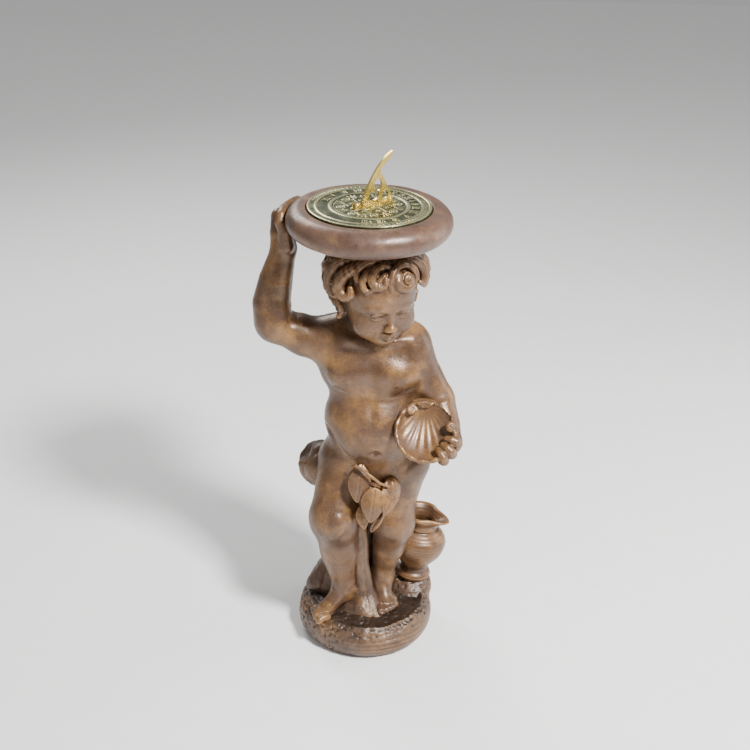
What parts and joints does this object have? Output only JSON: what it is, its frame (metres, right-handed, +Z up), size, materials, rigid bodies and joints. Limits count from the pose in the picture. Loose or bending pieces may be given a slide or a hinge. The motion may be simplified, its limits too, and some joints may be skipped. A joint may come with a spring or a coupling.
{
  "type": "garden sundial",
  "caption": "Cast-stone child on a round base, one hand up to a bullnose table on its head and a scallop shell in the other, with a turning brass dial and gnomon.",
  "frame": {"origin": "centre of the underside of the round base", "axes": "+Z up, the figure faces -Y, +X is on the figure's left hand"},
  "size_m": [0.333, 0.252, 0.85],
  "materials": {
    "aged_stone": "satin aged bronze",
    "rough_stone": "pitted, satin on the high spots",
    "mortar": "matt",
    "armature_steel": "plain bar",
    "antique_brass": "green-brown antique with rubbed high spots",
    "polished_brass": "polished"
  },
  "bodies": {
    "plinth": {"base_plinth": "rough_stone", "tree_stump": "rough_stone", "water_jar": "aged_stone", "stepping_leg": "aged_stone", "standing_leg": "aged_stone", "torso": "aged_stone", "head": "aged_stone", "raised_arm": "aged_stone", "shell_arm": "aged_stone", "scallop_shell": "aged_stone", "leaf_garland": "aged_stone", "dial_table": "aged_stone", "table_bedding": "mortar", "spine_rod": "armature_steel", "ankle_dowels": "armature_steel", "hip_dowels": "armature_steel", "shoulder_dowels": "armature_steel", "hand_pin": "armature_steel", "jar_pin": "armature_steel"},
    "dial": {"dial_plate": "antique_brass", "centre_stud": "polished_brass", "gnomon": "polished_brass", "gnomon_boss": "polished_brass", "gnomon_screws": "polished_brass"}
  },
  "joints": [
    {"name": "dial_turn", "type": "hinge", "parent": "plinth", "child": "dial", "pos_m": [-0.0065, -0.007, 0.7663], "axis": [0, 0, 1], "continuous": true}
  ]
}
